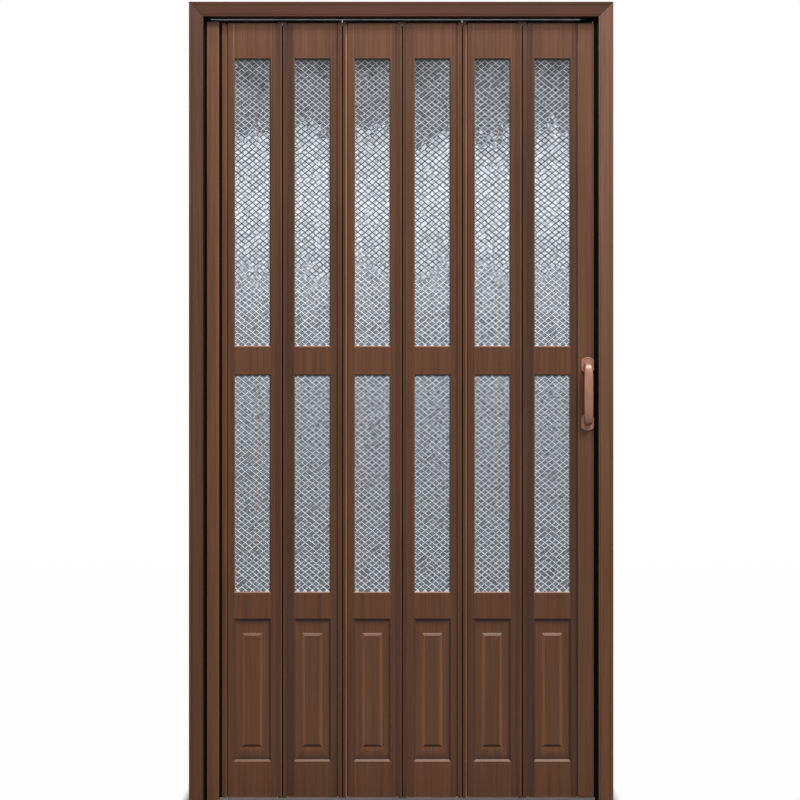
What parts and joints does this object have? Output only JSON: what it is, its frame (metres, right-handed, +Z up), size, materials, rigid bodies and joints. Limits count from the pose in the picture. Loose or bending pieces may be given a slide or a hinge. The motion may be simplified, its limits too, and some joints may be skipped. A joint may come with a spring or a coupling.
{
  "type": "accordion folding door",
  "caption": "Accordion folding door with patterned glass lights and raised panels, hung from a track in a mitred casing, with a bow handle on its lead post",
  "frame": {"origin": "middle of the casing's footprint on the floor, with the leaf's hinge lines in the plane y = 0", "axes": "+X along the doorway towards the lead post and its handle, +Y through the wall to the back, +Z up"},
  "size_m": [1.1062, 0.083, 2.087],
  "materials": {
    "wood_grain_foil": "satin wood-grain foil on extruded plastic",
    "trim_brown": "satin moulded plastic",
    "dark_trim": "matt dark plastic",
    "seal_rubber": "matt",
    "track_aluminium": "mill finish",
    "steel": "zinc plated",
    "copper_lacquer": "satin copper-brown lacquer on die-cast metal",
    "patterned_glass": "pressed diamond lattice"
  },
  "bodies": {
    "casing": {"left_jamb": "wood_grain_foil", "right_jamb": "wood_grain_foil", "head_jamb": "wood_grain_foil", "corner_keys": "dark_trim", "head_track": "track_aluminium", "fixing_screws": "steel", "wall_channel": "dark_trim", "end_post": "wood_grain_foil", "starter_strip": "wood_grain_foil", "strike_strip": "dark_trim"},
    "panel_1": {"panel_1_slat": "wood_grain_foil", "panel_1_beads": "trim_brown", "panel_1_panes": "patterned_glass", "panel_1_field": "wood_grain_foil", "panel_1_caps": "trim_brown"},
    "panel_2": {"panel_2_slat": "wood_grain_foil", "panel_2_beads": "trim_brown", "panel_2_panes": "patterned_glass", "panel_2_field": "wood_grain_foil", "panel_2_caps": "trim_brown"},
    "panel_3": {"panel_3_slat": "wood_grain_foil", "panel_3_beads": "trim_brown", "panel_3_panes": "patterned_glass", "panel_3_field": "wood_grain_foil", "panel_3_caps": "trim_brown"},
    "panel_4": {"panel_4_slat": "wood_grain_foil", "panel_4_beads": "trim_brown", "panel_4_panes": "patterned_glass", "panel_4_field": "wood_grain_foil", "panel_4_caps": "trim_brown"},
    "panel_5": {"panel_5_slat": "wood_grain_foil", "panel_5_beads": "trim_brown", "panel_5_panes": "patterned_glass", "panel_5_field": "wood_grain_foil", "panel_5_caps": "trim_brown"},
    "panel_6": {"panel_6_slat": "wood_grain_foil", "panel_6_beads": "trim_brown", "panel_6_panes": "patterned_glass", "panel_6_field": "wood_grain_foil", "panel_6_caps": "trim_brown"},
    "strip_1": {"strip_1": "wood_grain_foil", "strip_1_caps": "trim_brown"},
    "strip_2": {"strip_2": "wood_grain_foil", "strip_2_caps": "trim_brown", "strip_2_hanger": "steel"},
    "strip_3": {"strip_3": "wood_grain_foil", "strip_3_caps": "trim_brown"},
    "strip_4": {"strip_4": "wood_grain_foil", "strip_4_caps": "trim_brown", "strip_4_hanger": "steel"},
    "strip_5": {"strip_5": "wood_grain_foil", "strip_5_caps": "trim_brown"},
    "lead": {"lead_post": "wood_grain_foil", "lead_caps": "trim_brown", "lead_seal": "seal_rubber", "lead_hanger": "steel", "front_handle": "copper_lacquer", "rear_handle": "copper_lacquer", "handle_bolts": "steel"}
  },
  "joints": [
    {"name": "fold", "type": "hinge", "parent": "casing", "child": "panel_1", "pos_m": [-0.46015, 0, 1], "axis": [0, 0, -1], "range_deg": [0, 84]},
    {"name": "strip_1_left", "type": "hinge", "parent": "panel_1", "child": "strip_1", "pos_m": [-0.31915, 0, 1], "axis": [0, 0, 1], "range_deg": [0, 84]},
    {"name": "strip_1_right", "type": "hinge", "parent": "strip_1", "child": "panel_2", "pos_m": [-0.30315, 0, 1], "axis": [0, 0, 1], "range_deg": [0, 84]},
    {"name": "strip_2_left", "type": "hinge", "parent": "panel_2", "child": "strip_2", "pos_m": [-0.16215, 0, 1], "axis": [0, 0, -1], "range_deg": [0, 84]},
    {"name": "strip_2_right", "type": "hinge", "parent": "strip_2", "child": "panel_3", "pos_m": [-0.14615, 0, 1], "axis": [0, 0, -1], "range_deg": [0, 84]},
    {"name": "strip_3_left", "type": "hinge", "parent": "panel_3", "child": "strip_3", "pos_m": [-0.00515, 0, 1], "axis": [0, 0, 1], "range_deg": [0, 84]},
    {"name": "strip_3_right", "type": "hinge", "parent": "strip_3", "child": "panel_4", "pos_m": [0.01085, 0, 1], "axis": [0, 0, 1], "range_deg": [0, 84]},
    {"name": "strip_4_left", "type": "hinge", "parent": "panel_4", "child": "strip_4", "pos_m": [0.15185, 0, 1], "axis": [0, 0, -1], "range_deg": [0, 84]},
    {"name": "strip_4_right", "type": "hinge", "parent": "strip_4", "child": "panel_5", "pos_m": [0.16785, 0, 1], "axis": [0, 0, -1], "range_deg": [0, 84]},
    {"name": "strip_5_left", "type": "hinge", "parent": "panel_5", "child": "strip_5", "pos_m": [0.30885, 0, 1], "axis": [0, 0, 1], "range_deg": [0, 84]},
    {"name": "strip_5_right", "type": "hinge", "parent": "strip_5", "child": "panel_6", "pos_m": [0.32485, 0, 1], "axis": [0, 0, 1], "range_deg": [0, 84]},
    {"name": "lead_hinge", "type": "hinge", "parent": "panel_6", "child": "lead", "pos_m": [0.46585, 0, 1], "axis": [0, 0, -1], "range_deg": [0, 84]}
  ],
  "couplings": [
    {"joint": "strip_1_left", "follows": "fold", "ratio": 1},
    {"joint": "strip_1_right", "follows": "fold", "ratio": 1},
    {"joint": "strip_2_left", "follows": "fold", "ratio": 1},
    {"joint": "strip_2_right", "follows": "fold", "ratio": 1},
    {"joint": "strip_3_left", "follows": "fold", "ratio": 1},
    {"joint": "strip_3_right", "follows": "fold", "ratio": 1},
    {"joint": "strip_4_left", "follows": "fold", "ratio": 1},
    {"joint": "strip_4_right", "follows": "fold", "ratio": 1},
    {"joint": "strip_5_left", "follows": "fold", "ratio": 1},
    {"joint": "strip_5_right", "follows": "fold", "ratio": 1},
    {"joint": "lead_hinge", "follows": "fold", "ratio": 1}
  ]
}
